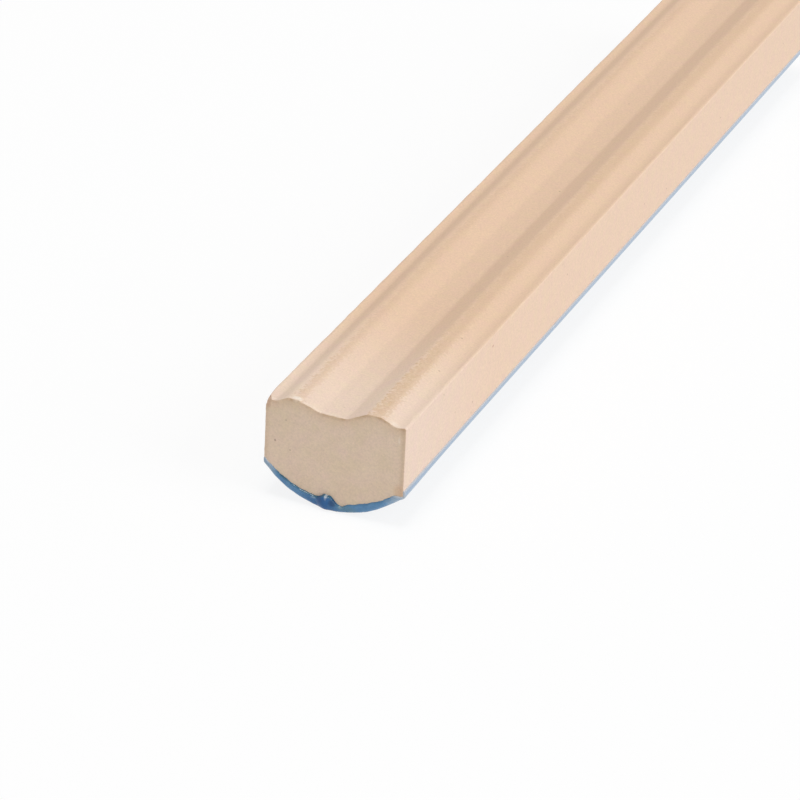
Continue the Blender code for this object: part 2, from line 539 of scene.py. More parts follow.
@dataclass(frozen=True)
class Clouds:
    """Cloudy noise: its spacing and its shift in mm, and the noise that gives 0 and 1."""

    spacing: float
    low: float = 0.0
    high: float = 1.0
    shift: float = 0.0
    rough: float = 0.6

    def mask(self, surface: Surface) -> Node:
        """Add the noise.

        Args:
            surface: the material.

        Returns:
            The node that gives it, from 0 to 1.
        """
        place = surface.add("VectorMath", {1: (self.shift, self.shift, self.shift)}, {0: surface.place})
        look = {"Scale": 1 / self.spacing, "Detail": 3.0, "Roughness": self.rough}
        texture = surface.add("TexNoise", look, {"Vector": place})
        return surface.add("MapRange", {"From Min": self.low, "From Max": self.high}, {"Value": texture})


@dataclass(frozen=True)
class Facing:
    """A direction, and the cosines of the angle to it at which a mask starts and is full."""

    direction: Triple
    low: float
    high: float

    def mask(self, surface: Surface) -> Node:
        """Add a mask that is 1 where the surface faces the direction.

        Args:
            surface: the material.

        Returns:
            The node that gives the mask.
        """
        out = {"operation": "DOT_PRODUCT", 1: self.direction}
        cosine = surface.add("VectorMath", out, {0: surface.point.outputs["Normal"]})
        ramp = {**SMOOTH, "From Min": self.low, "From Max": self.high}
        return surface.add("MapRange", ramp, {"Value": cosine})


@dataclass(frozen=True)
class Band:
    """A soft stripe: its middle, its half width and the width of its fade, in mm."""

    middle: float
    half_width: float
    fade: float

    def mask(self, surface: Surface, place: Source, start: float = 0.0) -> Node:
        """Add a mask that is 1 along the stripe and fades out beside it.

        Args:
            surface: the material.
            place: the place along the axis that the stripe crosses, in mm.
            start: where its middle is measured from, in mm.

        Returns:
            The node that gives the mask.
        """
        away = surface.add("Math", {"operation": "SUBTRACT", 1: start + self.middle}, {0: place})
        away = surface.add("Math", {"operation": "ABSOLUTE"}, {0: away})
        ramp = {**SMOOTH, **FALLING, "From Min": self.half_width, "From Max": self.half_width + self.fade}
        return surface.add("MapRange", ramp, {"Value": away})


@dataclass(frozen=True)
class Bisque:
    """Dry-pressed earthenware, fired once: cream to pinkish buff.

    The eye gets no gloss from it, only soft shade and a fine grain. The ribs are rubbed tan,
    the cut ends are a little darker than the pressed faces, and so is the arris round them.
    """

    side_near: str = "#EDD8C8"
    side_far: str = "#ECD3BD"
    back_near: str = "#E8D4C2"  # palest beside the near end
    back_far: str = "#E2C6AC"  # warmer further along, where the kiln toasted it
    toasted_over: float = 32.0  # mm
    end: str = "#E9D4BF"
    pink: str = "#FFF9FA"  # the mottle's tints, over the colours above
    straw: str = "#FFFDF7"
    blotch: str = "#D8C6A2"  # faint yellow patches on the cut ends
    tan: str = "#D3B490"
    rim_brown: str = "#AE8C64"
    chalk: str = "#F6EADB"
    speck: str = "#9A7A5C"
    grain: Clouds = Clouds(0.24)  # the pressed powder's granules
    granules: Clouds = Clouds(0.384, 0.38, 0.62, 5.0)  # coarser ones, which break up the tan
    mottle: Clouds = Clouds(1.7, 0.32, 0.68, 11.0)  # patches of pink and straw
    blotches: Clouds = Clouds(2.6, 0.4, 0.6, 23.0)
    patch: Clouds = Clouds(7.0, 0.32, 0.62, 37.0)  # how the tan comes and goes
    rim_patches: Clouds = Clouds(2.2, 0.38, 0.6, 71.0)  # how the rim's brown comes and goes
    back: Facing = Facing((0.0, 0.0, 1.0), 0.45, 0.75)
    near_end: Facing = Facing((0.0, -1.0, 0.0), 0.6, 0.9)
    far_end: Facing = Facing((0.0, 1.0, 0.0), 0.6, 0.9)
    near_arris: Facing = Facing((0.0, -0.8, 0.6), 0.86, 0.97)
    left_crest: Band = Band(0.55, 0.35, 0.5)  # the rubbed tan, from each rib's middle
    right_crest: Band = Band(0.25, 0.7, 0.5)
    inside_rim: Band = Band(0.3, 0.05, 0.4)  # chalk on the back, from the near end
    under_rim: Band = Band(0.0, 0.2, 0.35)  # brown on that end, just down from the back
    upper_end: Band = Band(0.0, 0.2, 1.6)  # tan on that end, down from the back
    side_rim: Band = Band(0.0, 0.2, 0.7)  # brown on that end, in from each side
    left_rub: float = 0.60  # how strong the tan is on each rib
    right_rub: float = 0.88
    rub_fades: float = 0.5  # share of it that is gone further along
    crumbs: Span = (0.5, 1.0)  # how the granules and the patches thin it, at most and at least
    thinned: Span = (0.75, 1.0)
    jitter: Span = (-0.4, 0.4)  # mm, how far the granules shift its edges
    blotch_share: float = 0.2  # how strong each other stain is
    chalk_share: float = 0.55
    arris_share: float = 0.5
    rim_share: float = 0.55
    upper_share: float = 0.3
    left_share: float = 0.12
    right_share: float = 0.28
    speck_share: float = 0.5
    speck_spacing: float = 3.4  # mm
    speck_edge: Span = (0.02, 0.05)  # where a speck ends, as a share of the spacing
    shades: Span = (0.84, 1.17)  # darkest and lightest granule, over the colours above
    roughness: float = 0.92
    ior: float = 1.45
    bump: float = 0.35
    relief: float = 0.03 * MM
    marks: tuple[Mark, ...] = (
        Mark((-7.84, -75.94, 7.79), (0.16, 0.5, 0.22), "#8E6E58", 0.6),
        Mark((-6.48, -75.94, 10.91), (0.12, 0.5, 0.12), "#8E6E58", 0.5),
        Mark((-5.81, -75.94, 6.93), (0.13, 0.5, 0.13), "#8E6E58", 0.5),
        Mark((8.40, -75.94, 11.90), (0.2, 0.5, 0.75), "#F2E4D6", 0.5),
        Mark((8.65, -75.94, 4.90), (1.0, 0.5, 1.4), "#CC9A6C", 0.3),
        Mark((-5.30, -75.45, 13.90), (0.9, 0.65, 0.6), "#F4ECE0", 0.8),
        Mark((7.60, -75.45, 13.90), (0.8, 0.55, 0.6), "#F2E6DA", 0.5),
        Mark((-8.90, -75.94, 12.60), (0.5, 0.6, 0.8), "#A87450", 0.3),
        Mark((9.25, -48.45, 12.12), (0.5, 0.3, 0.22), "#B06A4C", 0.6),
        Mark((9.25, -60.20, 8.40), (0.5, 0.16, 0.16), "#A88262", 0.5),
        Mark((9.25, -22.70, 10.60), (0.5, 0.2, 0.18), "#A88262", 0.5),
    )

    def material(self, section: BarSection, near: float) -> Material:
        """Build the finish.

        Args:
            section: the bar's outline, which places the ribs.
            near: where the near bare end lies along Y.

        Returns:
            The material.
        """
        surface = Surface("earthenware_bisque")
        split = surface.add("SeparateXYZ", {}, {"Vector": surface.place})
        across, along = split.outputs["X"], split.outputs["Y"]
        upward, near_end, far_end, arris, grain, granules, mottle, blotches, patch, rim_patches = (
            part.mask(surface)
            for part in (
                self.back, self.near_end, self.far_end, self.near_arris,
                self.grain, self.granules, self.mottle, self.blotches, self.patch, self.rim_patches,
            )
        )

        # Each face has its own firing colour
        toasting = {**SMOOTH, "From Min": near / MM, "From Max": near / MM + self.toasted_over}
        toasted = surface.add("MapRange", toasting, {"Value": along})
        faces = {}
        firings = ((6, self.side_near, self.side_far), (7, self.back_near, self.back_far))
        for number, nearer, further in firings:
            fired = {**COLOUR, 6: linear(nearer), 7: linear(further)}
            faces[number] = surface.add("Mix", fired, {0: toasted})
        surface.colour = surface.add("Mix", COLOUR, {0: upward, **faces})
        for cut in (near_end, far_end):
            surface.lay(self.end, (cut,))
            surface.lay(self.blotch, (cut, blotches), self.blotch_share)

        # Rubbed crests of the ribs: the granules break up the tan's edges
        shift, crumbs, rubbed, fresher = (
            surface.add("MapRange", {"To Min": low, "To Max": high}, {"Value": source})
            for source, low, high in (
                (granules, *self.jitter),
                (granules, *self.crumbs),
                (patch, *self.thinned),
                (toasted, 1.0, 1 - self.rub_fades),
            )
        )
        shaken = surface.add("Math", {"operation": "ADD"}, {0: across, 1: shift})
        for rib, crest, strength in (
            (section.left_rib, self.left_crest, self.left_rub),
            (section.right_rib, self.right_crest, self.right_rub),
        ):
            band = crest.mask(surface, shaken, rib / MM)
            surface.lay(self.tan, (band, upward, crumbs, rubbed, fresher), strength)

        # The near end's rim: chalky just inside it on the back, darker brown on its arris and just under it
        below = surface.add("Attribute", {"attribute_name": "below_back"}).outputs["Fac"]
        inside = self.inside_rim.mask(surface, along, near / MM)
        surface.lay(self.chalk, (inside, upward, granules, patch), self.chalk_share)
        surface.lay(self.rim_brown, (arris, rim_patches), self.arris_share)
        surface.lay(self.rim_brown, (self.under_rim.mask(surface, below), near_end, rim_patches), self.rim_share)
        surface.lay(self.tan, (self.upper_end.mask(surface, below), near_end), self.upper_share)
        for side, strength in ((-1, self.left_share), (1, self.right_share)):
            edge = self.side_rim.mask(surface, across, side * section.half_width / MM)
            surface.lay(self.rim_brown, (edge, near_end), strength)

        # A few dark specks of iron in the body
        cells = surface.add("TexVoronoi", {"Scale": 1 / self.speck_spacing}, {"Vector": surface.place})
        core, rim = self.speck_edge
        speck = surface.add("MapRange", {**FALLING, "From Min": core, "From Max": rim}, {"Value": cells})
        surface.lay(self.speck, (speck,), self.speck_share)
        surface.mark(self.marks)

        # Mottle, then granules that are a little lighter or darker than the body
        tint = surface.add("Mix", {**COLOUR, 6: linear(self.pink), 7: linear(self.straw)}, {0: mottle})
        darkest, lightest = self.shades
        shade = surface.add("MapRange", {"To Min": darkest, "To Max": lightest}, {"Value": grain})
        for layer in (tint, shade):
            product = {**COLOUR, "blend_type": "MULTIPLY", 0: 1.0}
            surface.colour = surface.add("Mix", product, {6: surface.colour, 7: layer})
        return surface.dress(self.roughness, self.ior, grain, self.bump, self.relief)


@dataclass(frozen=True)
class BrokenClay:
    """The same body where a corner has broken off: rougher, and stained brown by handling."""

    stain: str = "#CBA78C"
    fresh: str = "#E2C6B0"
    grain: Clouds = Clouds(0.3, rough=0.5)
    patches: Clouds = Clouds(0.3, 0.35, 0.7, rough=0.5)  # the same grain, with more contrast
    roughness: float = 0.95
    ior: float = 1.5
    bump: float = 0.6
    relief: float = 0.06 * MM

    def material(self) -> Material:
        """Build the finish.

        Returns:
            The material.
        """
        surface = Surface("broken_earthenware")
        mixed = {**COLOUR, 6: linear(self.stain), 7: linear(self.fresh)}
        surface.colour = surface.add("Mix", mixed, {0: self.patches.mask(surface)})
        return surface.dress(self.roughness, self.ior, self.grain.mask(surface), self.bump, self.relief)


@dataclass(frozen=True)
class CobaltGlaze:
    """Glossy cobalt blue glaze over cream clay, pale where it is thin and deep where it pools.

    Its smooth glass mirrors the lamps in small bright lines along its rounded edge; a few pale spots on the
    near end are painted highlights.
    """

    film: str = "#9BB0C8"  # on the sides, where the clay shows through
    thin: str = "#90A9BF"
    middle: str = "#578BB6"
    deep: str = "#125A96"
    stain: str = "#38647C"  # teal line where the glaze ends on the clay
    stain_right: float = 0.4  # of the line's strength on the left
    stain_width: float = 0.14  # mm
    feather: str = "#DDD6CF"  # where the film thins out on the sides
    feather_width: float = 0.35  # mm
    feather_share: float = 0.6
    cloud: Clouds = Clouds(0.9, rough=0.5)  # faint clouds in the colour
    drift: Span = (-0.25, 0.25)  # how far they take the colour's depth down and up
    thin_at: float = 0.2  # depths at which these colours are pure
    middle_at: float = 0.5
    pooled: Span = (0.25, 0.55)  # depths at which the teal line starts and is full
    weaker: Span = (-1.0, 2.0)  # mm across, where it grows weaker
    filmy: Span = (0.1, 0.3)  # depths between which a film turns into a coat
    roughness: float = 0.08
    ior: float = 1.46
    marks: tuple[Mark, ...] = (
        Mark((-1.50, -76.2, 1.40), (0.60, 1.2, 0.75), "#034A82", 0.8),
        Mark((0.15, -76.2, 1.25), (0.65, 1.2, 0.75), "#03406F", 0.8),
        # painted highlight: a pale spot on top of the run's bead, where its glass would mirror the lamps
        Mark((-0.70, -76.2, 2.20), (0.28, 1.2, 0.85), "#B4C0CC", 0.75),
        # painted highlights: pale streaks on the glaze's top edge, in this spot and the next
        Mark((-2.40, -76.2, 1.38), (0.50, 1.2, 0.16), "#A9C4D2", 0.4),
        Mark((1.20, -76.2, 0.84), (0.40, 1.2, 0.18), "#A4B6BC", 0.5),
        Mark((2.10, -76.2, 0.80), (1.9, 1.2, 0.70), "#5F8590", 0.5),
    )

    def material(self) -> Material:
        """Build the finish, which reads the coat's own depth and its distance to the edge.

        Returns:
            The material.
        """
        surface = Surface("cobalt_glaze")
        depth, edge = (
            surface.add("Attribute", {"attribute_name": name}).outputs["Fac"]
            for name in ("glaze_depth", "glaze_edge")
        )
        across = surface.add("SeparateXYZ", {}, {"Vector": surface.place}).outputs["X"]
        cloud = self.cloud.mask(surface)
        shallower, deeper = self.drift
        drift = surface.add("MapRange", {"To Min": shallower, "To Max": deeper}, {"Value": cloud})
        clouded = surface.add("Math", {"operation": "ADD"}, {0: depth, 1: drift})
        surface.colour = surface.add("ValToRGB", {}, {"Fac": clouded})
        stops = surface.colour.color_ramp.elements
        stops[0].color = linear(self.film)
        stops[1].color = linear(self.deep)
        for place, colour in ((self.thin_at, self.thin), (self.middle_at, self.middle)):
            stops.new(place).color = linear(colour)

        # A teal line, which thin glaze doesn't have, and a film that thins out on the sides
        masks = []
        for source, kind, low, high, at_low, at_high in (
            (edge, "SMOOTHSTEP", self.stain_width / 2, 2 * self.stain_width, 1.0, 0.0),
            (clouded, "LINEAR", *self.pooled, 0.0, 1.0),
            (across, "LINEAR", *self.weaker, 1.0, self.stain_right),
            (edge, "SMOOTHSTEP", 0.0, self.feather_width, self.feather_share, 0.0),
            (depth, "LINEAR", *self.filmy, 1.0, 0.0),
        ):
            ramp = {"From Min": low, "From Max": high, "To Min": at_low, "To Max": at_high}
            masks.append(surface.add("MapRange", {"interpolation_type": kind, **ramp}, {"Value": source}))
        surface.lay(self.stain, tuple(masks[:3]))
        surface.lay(self.feather, tuple(masks[3:]))
        # Deep blue round the run, a teal patch, and painted highlights on the near end
        surface.mark(self.marks)
        return surface.dress(self.roughness, self.ior)


@dataclass
class ClayBar:
    """The fired clay: the ribbed back, the flat sides and ends, and the bed of the glaze."""

    section: BarSection
    near: float
    far: float
    columns: int = 70
    rows: int = 22
    rings: int = 260
    bed: float = 0.17 * MM  # clay under the dome, inside the glazed face
    end_bed: float = 0.5 * MM  # deeper still at the ends, under the coat's wide arris
    end_bed_over: float = 1.2 * MM
    end_bed_sides: Span = (0.84, 0.96)  # where it ends, as a share of the half width
    long_arris: float = 0.3 * MM
    end_arris: float = 0.16 * MM
    arris_segments: int = 3
    sharp: float = 62.0  # degrees, the least turn at an edge that gets an arris
    soft: float = 40.0  # degrees, the most turn that is shaded smooth
    edge_columns: float = 0.15  # widens the outer columns, which the arris cuts into
    near_rings: float = 0.35  # spacing of the rings at the near end, of their mean
    chip_along: float = 1.3 * MM
    chip_across: float = 0.9 * MM
    chip_down: float = 1.25 * MM
    chip_cells: int = 40  # facets across the break
    worn_along: float = 3.0 * MM  # the long arris beside the chip is worn over this length
    worn_reach: Span = (0.1 * MM, 0.8 * MM)  # and fades over this, round the arris
    worn_deep: float = 0.18 * MM
    break_face: Unevenness = Unevenness("break", 0.45 * MM, 0.22 * MM)
    arris_wear: Unevenness = Unevenness("arris_wear", 0.45 * MM, 0.11 * MM)
    pressing: Unevenness = Unevenness("pressing", 6.0 * MM, 0.03 * MM)
    granules: Unevenness = Unevenness("granules", 0.5 * MM, 0.035 * MM)

    def block(self) -> Piece:
        """Add a block of one metre that is cut into the bar's columns, rings and rows.

        Returns:
            The block.
        """
        block = add_primitive("clay_bar", bpy.ops.mesh.primitive_cube_add, size=1, location=(0.5, 0.5, 0.5))
        bpy.ops.object.mode_set(mode="EDIT")
        for axis, cells in ((Axis.X, self.columns), (Axis.Y, self.rings), (Axis.Z, self.rows)):
            pick_edges(block, lambda edge: edge.calc_length() - abs(run_along(edge, axis)) < STRAIGHT)
            bpy.ops.mesh.subdivide(number_cuts=cells - 1)
        bpy.ops.object.mode_set(mode="OBJECT")
        return block

    def place(self, share: Vector) -> Vector:
        """Move a point of the block to its place on the bar.

        Args:
            share: shares across, along and up the bar.

        Returns:
            The place in metres.
        """
        side = 2 * share.x - 1
        across = self.section.half_width * side * (1 - self.edge_columns * (1 - side ** 2))
        spread = self.near_rings + (1 - self.near_rings) * share.y
        along = self.near + (self.far - self.near) * share.y * spread
        beyond = min(along - self.near, self.far - along)
        deeper = (1 - smooth(0.0, self.end_bed_over, beyond)) * (1 - smooth(*self.end_bed_sides, abs(side)))
        low = self.section.dome_height(across, self.bed + self.end_bed * deeper)
        high = self.section.back_height(across)
        return Vector((across, along, low + (high - low) * share.z))

    def round_edges(self, bar: Piece) -> None:
        """Round the long arrises and then those of the ends, and remember where they are.

        Args:
            bar: the bar with sharp edges.
        """
        bar.vertex_groups.new(name="arrises")
        bpy.ops.object.mode_set(mode="EDIT")
        for along, radius in ((True, self.long_arris), (False, self.end_arris)):
            pick_edges(
                bar,
                lambda edge: len(edge.link_faces) == 2
                and edge.calc_face_angle() > math.radians(self.sharp)
                and (abs(run_along(edge, Axis.Y)) > edge.calc_length() / 2) is along,
            )
            bpy.ops.mesh.bevel(offset=radius, segments=self.arris_segments, affect="EDGES")
            bpy.ops.object.vertex_group_assign()
        bpy.ops.object.mode_set(mode="OBJECT")

    def chip_corner(self, bar: Piece, broken: Material) -> None:
        """Break the corner off where the back meets the left side at the near end.

        Args:
            bar: the bar to cut.
            broken: the finish of the break.
        """
        corner = Vector((-self.section.half_width, self.near, self.section.left_corner))
        along = corner + Vector((0, self.chip_along, 0))
        across = corner + Vector((self.chip_across, 0, 0))
        down = corner - Vector((0, 0, self.chip_down))
        outward = (along - down).cross(across - down).normalized()
        if outward.dot(corner - down) < 0:
            outward.negate()
        size = 4 * self.chip_along
        centre = (along + across + down) / 3 + outward * size / 2
        turn = outward.to_track_quat("Z", "Y").to_euler()
        cube = bpy.ops.mesh.primitive_cube_add
        lump = add_primitive("break_lump", cube, size=size, location=centre, rotation=turn)
        bpy.ops.object.mode_set(mode="EDIT")
        bpy.ops.mesh.select_all(action="SELECT")
        bpy.ops.mesh.subdivide(number_cuts=self.chip_cells)
        bpy.ops.object.mode_set(mode="OBJECT")
        self.break_face.press(lump)
        lump.data.materials.append(broken)
        cut = {"object": lump, "operation": "DIFFERENCE", "solver": "EXACT", "material_mode": "TRANSFER"}
        apply_modifier(bar, "BOOLEAN", cut)
        bpy.data.objects.remove(lump, do_unlink=True)

    def wear_arris(self, bar: Piece) -> None:
        """Wear the long left arris down towards the chip.

        Args:
            bar: the bar, already chipped.
        """
        group = bar.vertex_groups.new(name="worn")
        corner = Vector((-self.section.half_width, self.section.left_corner))
        for vertex in bar.data.vertices:
            reach = (Vector((vertex.co.x, vertex.co.z)) - corner).length
            share = 1 - smooth(0.0, self.worn_along, vertex.co.y - self.near)
            group.add([vertex.index], share * (1 - smooth(*self.worn_reach, reach)), "REPLACE")
        worn = {"strength": -self.worn_deep, "mid_level": 0.0, "vertex_group": "worn"}
        apply_modifier(bar, "DISPLACE", worn)

    def build(self, bisque: Material, broken: Material) -> Piece:
        """Model the clay and dress it.

        Args:
            bisque: the finish of the pressed faces.
            broken: the finish of the chipped corner.

        Returns:
            The finished piece.
        """
        bar = self.block()
        for vertex in bar.data.vertices:
            vertex.co = self.place(vertex.co)
        self.round_edges(bar)
        bar.data.materials.append(bisque)
        self.chip_corner(bar, broken)
        self.wear_arris(bar)
        self.arris_wear.press(bar, "arrises")
        self.pressing.press(bar)
        self.granules.press(bar)
        below = bar.data.attributes.new("below_back", "FLOAT", "POINT")
        for vertex, value in zip(bar.data.vertices, below.data):
            value.value = (self.section.back_height(vertex.co.x) - vertex.co.z) / MM
        select_only(bar)
        bpy.ops.object.shade_smooth_by_angle(angle=math.radians(self.soft))
        return bar


@dataclass
class GlazeCoat:
    """The glaze over the dome, lapped round the shoulders and the ends."""

    section: BarSection
    near: float
    far: float
    laps: dict[End, LapLine]
    lap_columns: int = 10
    shoulder_columns: int = 8
    dome_columns: int = 150
    turn_columns: int = 12  # of the dome, over which the lap turns at a shoulder
    lap_rows: int = 14
    arris_rows: int = 7
    rings: int = 90
    near_rings: float = 0.3  # spacing of the rings at the near end, of their mean
    side_arris: float = 0.3 * MM
    dome_arris: float = 0.6 * MM
    dome_power: int = 8  # how suddenly the dome's arris turns into the side's
    wide_arris: Swell = Swell(7.5 * MM, 0.65 * MM, 1.9 * MM)  # the near end's is rounder here
    rim: float = 0.2 * MM  # how far the coat's rounded edge reaches in
    sunk: float = 0.1 * MM  # its edge lies this far inside the clay
    wall: float = 0.2 * MM  # the shell, which reaches into the clay
    merge: float = 0.002 * MM  # points closer than this are one
    soft: float = 60.0  # degrees, the most turn that is shaded smooth
    bead: Swell = Swell(0.3 * MM, 0.4, 0.2 * MM)  # thicker rim on the ends, as a share
    ripple: float = 0.3  # how much the thickness wanders, as a share
    ripple_spacing: float = 0.7 * MM
    left_thins: Span = (7.4 * MM, 9.0 * MM)  # towards the left shoulder
    left_share: float = 0.3  # of the full thickness, left there
    pools: tuple[Swell, ...] = ()  # thicker stretches of the near end, by place across
    pooled_over: float = 2.5 * MM  # how far along the dome they reach
    run: Span = (-0.9 * MM, 1.1 * MM)  # middle of the run's bead, across and up
    run_size: float = 1.25 * MM
    run_swell: float = 0.36 * MM
    run_shape: float = 1.5  # how gently the bead flattens out
    fat_shoulder: Swell = Swell(0.0, 0.14 * MM, 9.0 * MM)  # the right one, from the near end
    fat_across: Span = (8.6 * MM, 9.3 * MM)
    fat_up: Span = (4.5 * MM, 5.1 * MM)
    bare_from: float = 8.2 * MM  # past this the near end's right corner is bare clay
    bare_margin: float = -0.05 * MM  # and so is its arris, up to this far along
    film_across: Span = (9.2 * MM, 9.35 * MM)  # the colour thins to a film on the sides
    film_along: float = 0.3 * MM
    left_pales: Span = (6.9 * MM, 8.9 * MM)  # it pales towards the shoulders
    right_pales: Span = (6.2 * MM, 8.8 * MM)
    thin_depth: float = 0.15  # the colour's depth where it is pale, and what the dome adds
    dome_depth: float = 0.4
    end_depth: Swell = Swell(-1.2 * MM, 0.5, 1.7 * MM)  # deeper round the run

    @property
    def columns(self) -> int:
        """Number of cells across the whole coat."""
        return 2 * (self.lap_columns + self.shoulder_columns) + self.dome_columns

    @property
    def rows(self) -> int:
        """Number of cells from the edge on one end to the edge on the other."""
        return 2 * (self.lap_rows + self.arris_rows) + self.rings

    def from_side(self, column: int) -> tuple[int, int]:
        """Read a column's side of the bar, as -1 or 1, and its number from that side's edge."""
        return (1 if 2 * column > self.columns else -1), min(column, self.columns - column)

    def outline(self, column: int) -> tuple[Vector, Vector, float]:
        """Read the coat's face across the bar.

        Args:
            column: number of the column, from the left edge.

        Returns:
            The place across and up, the direction out of the coat, and the distance to the
            nearer side edge.
        """
        side, step = self.from_side(column)
        centre, height, sweep = self.section.fillet
        lap = self.section.lap_top - height
        fillet = self.section.shoulder_radius * (QUARTER_TURN - sweep)
        if step <= self.lap_columns:
            share = (step / self.lap_columns) ** 2
            point = Vector((side * self.section.half_coat, height + lap * (1 - share)))
            return point, Vector((side, 0.0)), lap * share
        if step <= self.lap_columns + self.shoulder_columns:
            share = (step - self.lap_columns) / self.shoulder_columns
            turn = QUARTER_TURN + (sweep - QUARTER_TURN) * share
            hub, radius, run = Vector((side * centre, height)), self.section.shoulder_radius, fillet * share
        else:
            share = (step - self.lap_columns - self.shoulder_columns) / (self.dome_columns / 2)
            turn = sweep * (1 - share)
            hub, radius = Vector((0.0, self.section.radius)), self.section.radius
            run = fillet + radius * sweep * share
        out = Vector((side * math.sin(turn), -math.cos(turn)))
        return hub + out * radius, out, lap + run

    def arris(self, end: End, point: Vector) -> float:
        """Read the radius of the coat's edge at an end, which is wide under the dome.

        Args:
            end: the end of the bar.
            point: place across and up.

        Returns:
            The radius in metres.
        """
        if point.y > self.section.dome_rise:
            return self.side_arris
        fade = 1 - (point.x / self.section.half_coat) ** self.dome_power
        wider = self.wide_arris.at(point.x) if end is End.NEAR else 0.0
        return self.side_arris + (self.dome_arris - self.side_arris + wider) * fade

    def lap_point(self, end: End, column: int, start: Vector) -> Vector:
        """Read where a column ends on an end face.

        Args:
            end: the end of the bar.
            column: number of the column.
            start: where the column comes onto the end face.

        Returns:
            The place across and up, on the edge of the glaze.
        """
        lap = self.laps[end]
        side, step = self.from_side(column)
        turning = self.lap_columns + self.shoulder_columns + self.turn_columns
        across = start.x
        if step < turning:
            inner, out, _ = self.outline(turning if side < 0 else self.columns - turning)
            inner_x = (inner - out * self.arris(end, inner)).x
            outer_x = side * (self.section.half_coat - self.side_arris)
            across = outer_x + (inner_x - outer_x) * step / turning
        full = Vector((across, self.section.dome_height(across) + lap.rise(across)))
        return start + (full - start) * lap.fullness(across)

    def thickness(self, edge: float, place: Vector, on_end: float) -> float:
        """Read the coat's thickness, which rounds over to its edge in the clay.

        Args:
            edge: distance to the glaze's edge.
            place: the point on the even coat.
            on_end: share of an end face in what the point faces, from 0 to 1.

        Returns:
            The thickness in metres, below 0 where the coat lies in the clay.
        """
        if edge <= 0:
            return -self.sunk
        over = 1 - min(1.0, edge / self.rim)
        ripple = self.ripple * noise.noise(place / self.ripple_spacing)
        thinned = (1 - self.left_share) * smooth(*self.left_thins, -place.x)
        share = (1 + on_end * (self.bead.at(edge) + ripple)) * (1 - thinned)
        if place.y < 0:
            pool = sum(swell.at(place.x) for swell in self.pools)
            beyond = max(0.0, place.y - self.near) / self.pooled_over
            reach = (Vector((place.x, place.z)) - Vector(self.run)).length / self.run_size
            bead = on_end * self.run_swell * max(0.0, 1 - reach ** 2) ** self.run_shape
            under = smooth(*self.fat_across, place.x) * (1 - smooth(*self.fat_up, place.z))
            fat = under * (1 - on_end) * self.fat_shoulder.at(place.y - self.near)
            share += (pool * math.exp(-beyond ** 2) + bead + fat) / self.section.coat
        round_over = math.sqrt(1 - over ** 2)
        return -self.sunk * (1 - round_over) + self.section.coat * round_over * share

    def depth(self, end: End, point: Vector, step: int) -> float:
        """Read how deep the glaze's colour is.

        Args:
            end: the nearer end of the bar.
            point: the point on the even coat.
            step: number of its row, from that end.

        Returns:
            The depth, from 0 for a thin film to 1 for a pool.
        """
        fade = smooth(*self.left_pales, -point.x) + smooth(*self.right_pales, point.x)
        film = smooth(*self.film_across, abs(point.x))
        film *= smooth(0.0, self.film_along, abs(point.y - self.near))
        depth = self.thin_depth * (1 - film) + self.dome_depth * (1 - fade)
        if end is End.NEAR and step <= self.lap_rows + self.arris_rows:
            depth += self.end_depth.at(point.x)
        return depth

    def place(self, column: int, row: int) -> tuple[Vector, float, float]:
        """Read a point of the coat's face.

        Args:
            column: number of the column, from the left edge.
            row: number of the row, from the near end.

        Returns:
            The place, the depth of the glaze's colour from 0 to 1, and the distance to its edge.
        """
        point, out, side_edge = self.outline(column)
        end = End.NEAR if 2 * row < self.rows else End.FAR
        radius = self.arris(end, point)
        step = min(row, self.rows - row)
        face = self.near if end is End.NEAR else self.far
        flat = end.value * Vector((0, 1, 0))
        away = Vector((out.x, 0, out.y))
        start = point - out * radius
        stop = self.lap_point(end, column, start)
        width = (stop - start).length
        if step <= self.lap_rows:
            share = (step / self.lap_rows) ** 2
            flat_place = stop + (start - stop) * share
            nominal = Vector((flat_place.x, face + end.value * self.section.coat, flat_place.y))
            direction, end_edge, on_end = flat, width * share, 1.0
        elif step <= self.lap_rows + self.arris_rows:
            turn = QUARTER_TURN * (1 - (step - self.lap_rows) / self.arris_rows)
            inset = point - out * radius * (1 - math.cos(turn))
            beyond = self.section.coat - radius * (1 - math.sin(turn))
            nominal = Vector((inset.x, face + end.value * beyond, inset.y))
            direction = away * math.cos(turn) + flat * math.sin(turn)
            end_edge = width + radius * (QUARTER_TURN - turn)
            on_end = math.sin(turn)
        else:
            share = (row - self.lap_rows - self.arris_rows) / self.rings
            share *= self.near_rings + (1 - self.near_rings) * share
            first = self.near - self.section.coat + radius
            last = self.far + self.section.coat - radius
            along = first + (last - first) * share
            nominal = Vector((point.x, along, point.y))
            end_edge = width + radius * QUARTER_TURN + min(along - first, last - along)
            direction, on_end = away, 0.0
        edge = min(side_edge, end_edge)
        if end is End.NEAR and nominal.x > 0:
            below = self.section.dome_rise - nominal.z
            along_from = nominal.y - self.near - self.bare_margin
            edge = min(edge, max(self.bare_from - nominal.x, below, along_from))
        thick = self.thickness(edge, nominal, on_end)
        placed = nominal + direction * (thick - self.section.coat)
        placed.z = max(0.0, placed.z)
        return placed, self.depth(end, nominal, step), edge

